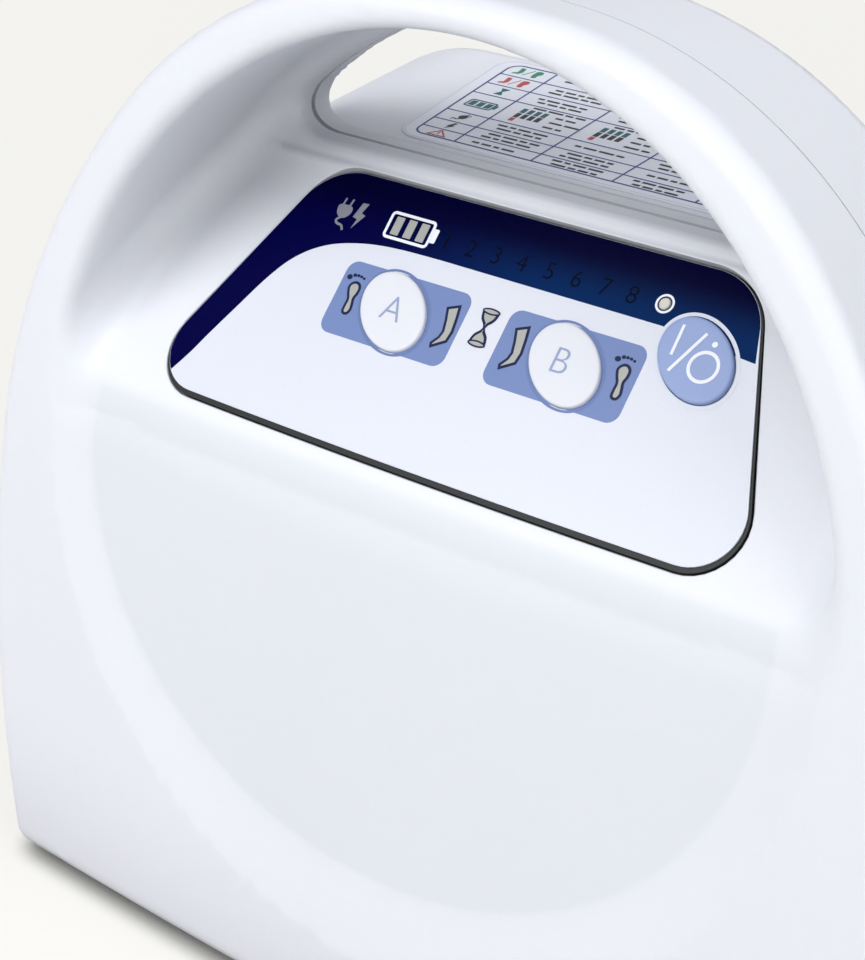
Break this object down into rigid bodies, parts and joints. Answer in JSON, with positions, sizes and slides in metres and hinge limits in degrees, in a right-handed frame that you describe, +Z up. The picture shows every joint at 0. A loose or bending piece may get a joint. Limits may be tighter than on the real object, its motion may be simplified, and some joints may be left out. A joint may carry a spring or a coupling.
{
  "type": "compression therapy pump",
  "caption": "Compression therapy pump: carry-handled white case, tilted oval-key panel in a bowl, chart deck, swing-out bed hook and tubing ports",
  "frame": {"origin": "centre of the bounding box's footprint, on the resting surface", "axes": "+Z up, -Y out of the front, +X to the right when facing the front"},
  "size_m": [0.1966, 0.1116, 0.1867],
  "materials": {
    "case_shell": "satin injection-moulded ABS, cool white",
    "panel_plate": "dark grey moulded polycarbonate",
    "overlay_print": "printed polyester overlay, satin, white with a navy band",
    "key_white": "satin moulded key, white",
    "key_blue": "satin moulded key, pale blue",
    "lens": "translucent light pipe",
    "circuit_board": "green glass-fibre laminate with components",
    "black_plastic": "black moulded nylon",
    "port_plastic": "light grey moulded plastic",
    "plated_brass": "nickel-plated brass",
    "steel": "zinc-plated steel",
    "aluminium": "die-cast aluminium",
    "ribbon": "grey ribbon cable",
    "battery_wrap": "blue shrink sleeve",
    "rubber": "black rubber",
    "tube": "clear vinyl tube",
    "chart_print": "printed chart label, satin laminate",
    "hook_plastic": "light grey glass-filled nylon"
  },
  "bodies": {
    "case": {"front_case": "case_shell", "rear_case": "case_shell", "panel_plate": "panel_plate", "panel_overlay": "overlay_print", "status_lens": "lens", "control_board": "circuit_board", "key_switches": "black_plastic", "buzzer": "black_plastic", "hook_pin": "steel", "hook_spring": "steel", "port_block": "port_plastic", "air_nipples": "port_plastic", "valve_manifold": "port_plastic", "solenoid_valves": "steel", "pressure_sensor": "black_plastic", "mains_inlet": "black_plastic", "inlet_blades": "plated_brass", "chassis_tray": "steel", "main_board": "circuit_board", "ribbon_cable": "ribbon", "power_supply": "circuit_board", "battery_pack": "battery_wrap", "compressor_mounts": "rubber", "compressor_frame": "aluminium", "compressor_motor": "steel", "compressor_head": "aluminium", "air_tube": "tube", "case_screws": "steel", "rubber_feet": "rubber", "chart_label": "chart_print"},
    "key_a": {"key_a": "key_white"},
    "key_b": {"key_b": "key_white"},
    "key_power": {"key_power": "key_blue"},
    "bed_hook": {"bed_hook": "hook_plastic", "hook_pads": "rubber"}
  },
  "joints": [
    {"name": "press_key_a", "type": "slide", "parent": "case", "child": "key_a", "axis": [0, 0.721, -0.693], "range_m": [0, 0.0006], "stiffness_N_per_m": 1500, "springref_m": -0.0002},
    {"name": "press_key_b", "type": "slide", "parent": "case", "child": "key_b", "axis": [0, 0.721, -0.693], "range_m": [0, 0.0006], "stiffness_N_per_m": 1500, "springref_m": -0.0002},
    {"name": "press_key_power", "type": "slide", "parent": "case", "child": "key_power", "axis": [0, 0.721, -0.693], "range_m": [0, 0.0006], "stiffness_N_per_m": 1500, "springref_m": -0.0002},
    {"name": "swing_bed_hook", "type": "hinge", "parent": "case", "child": "bed_hook", "pos_m": [0, 0.0525, 0.128], "axis": [1, 0, 0], "range_deg": [0, 90], "stiffness_Nm_per_rad": 0.05, "springref_deg": -17.19}
  ]
}
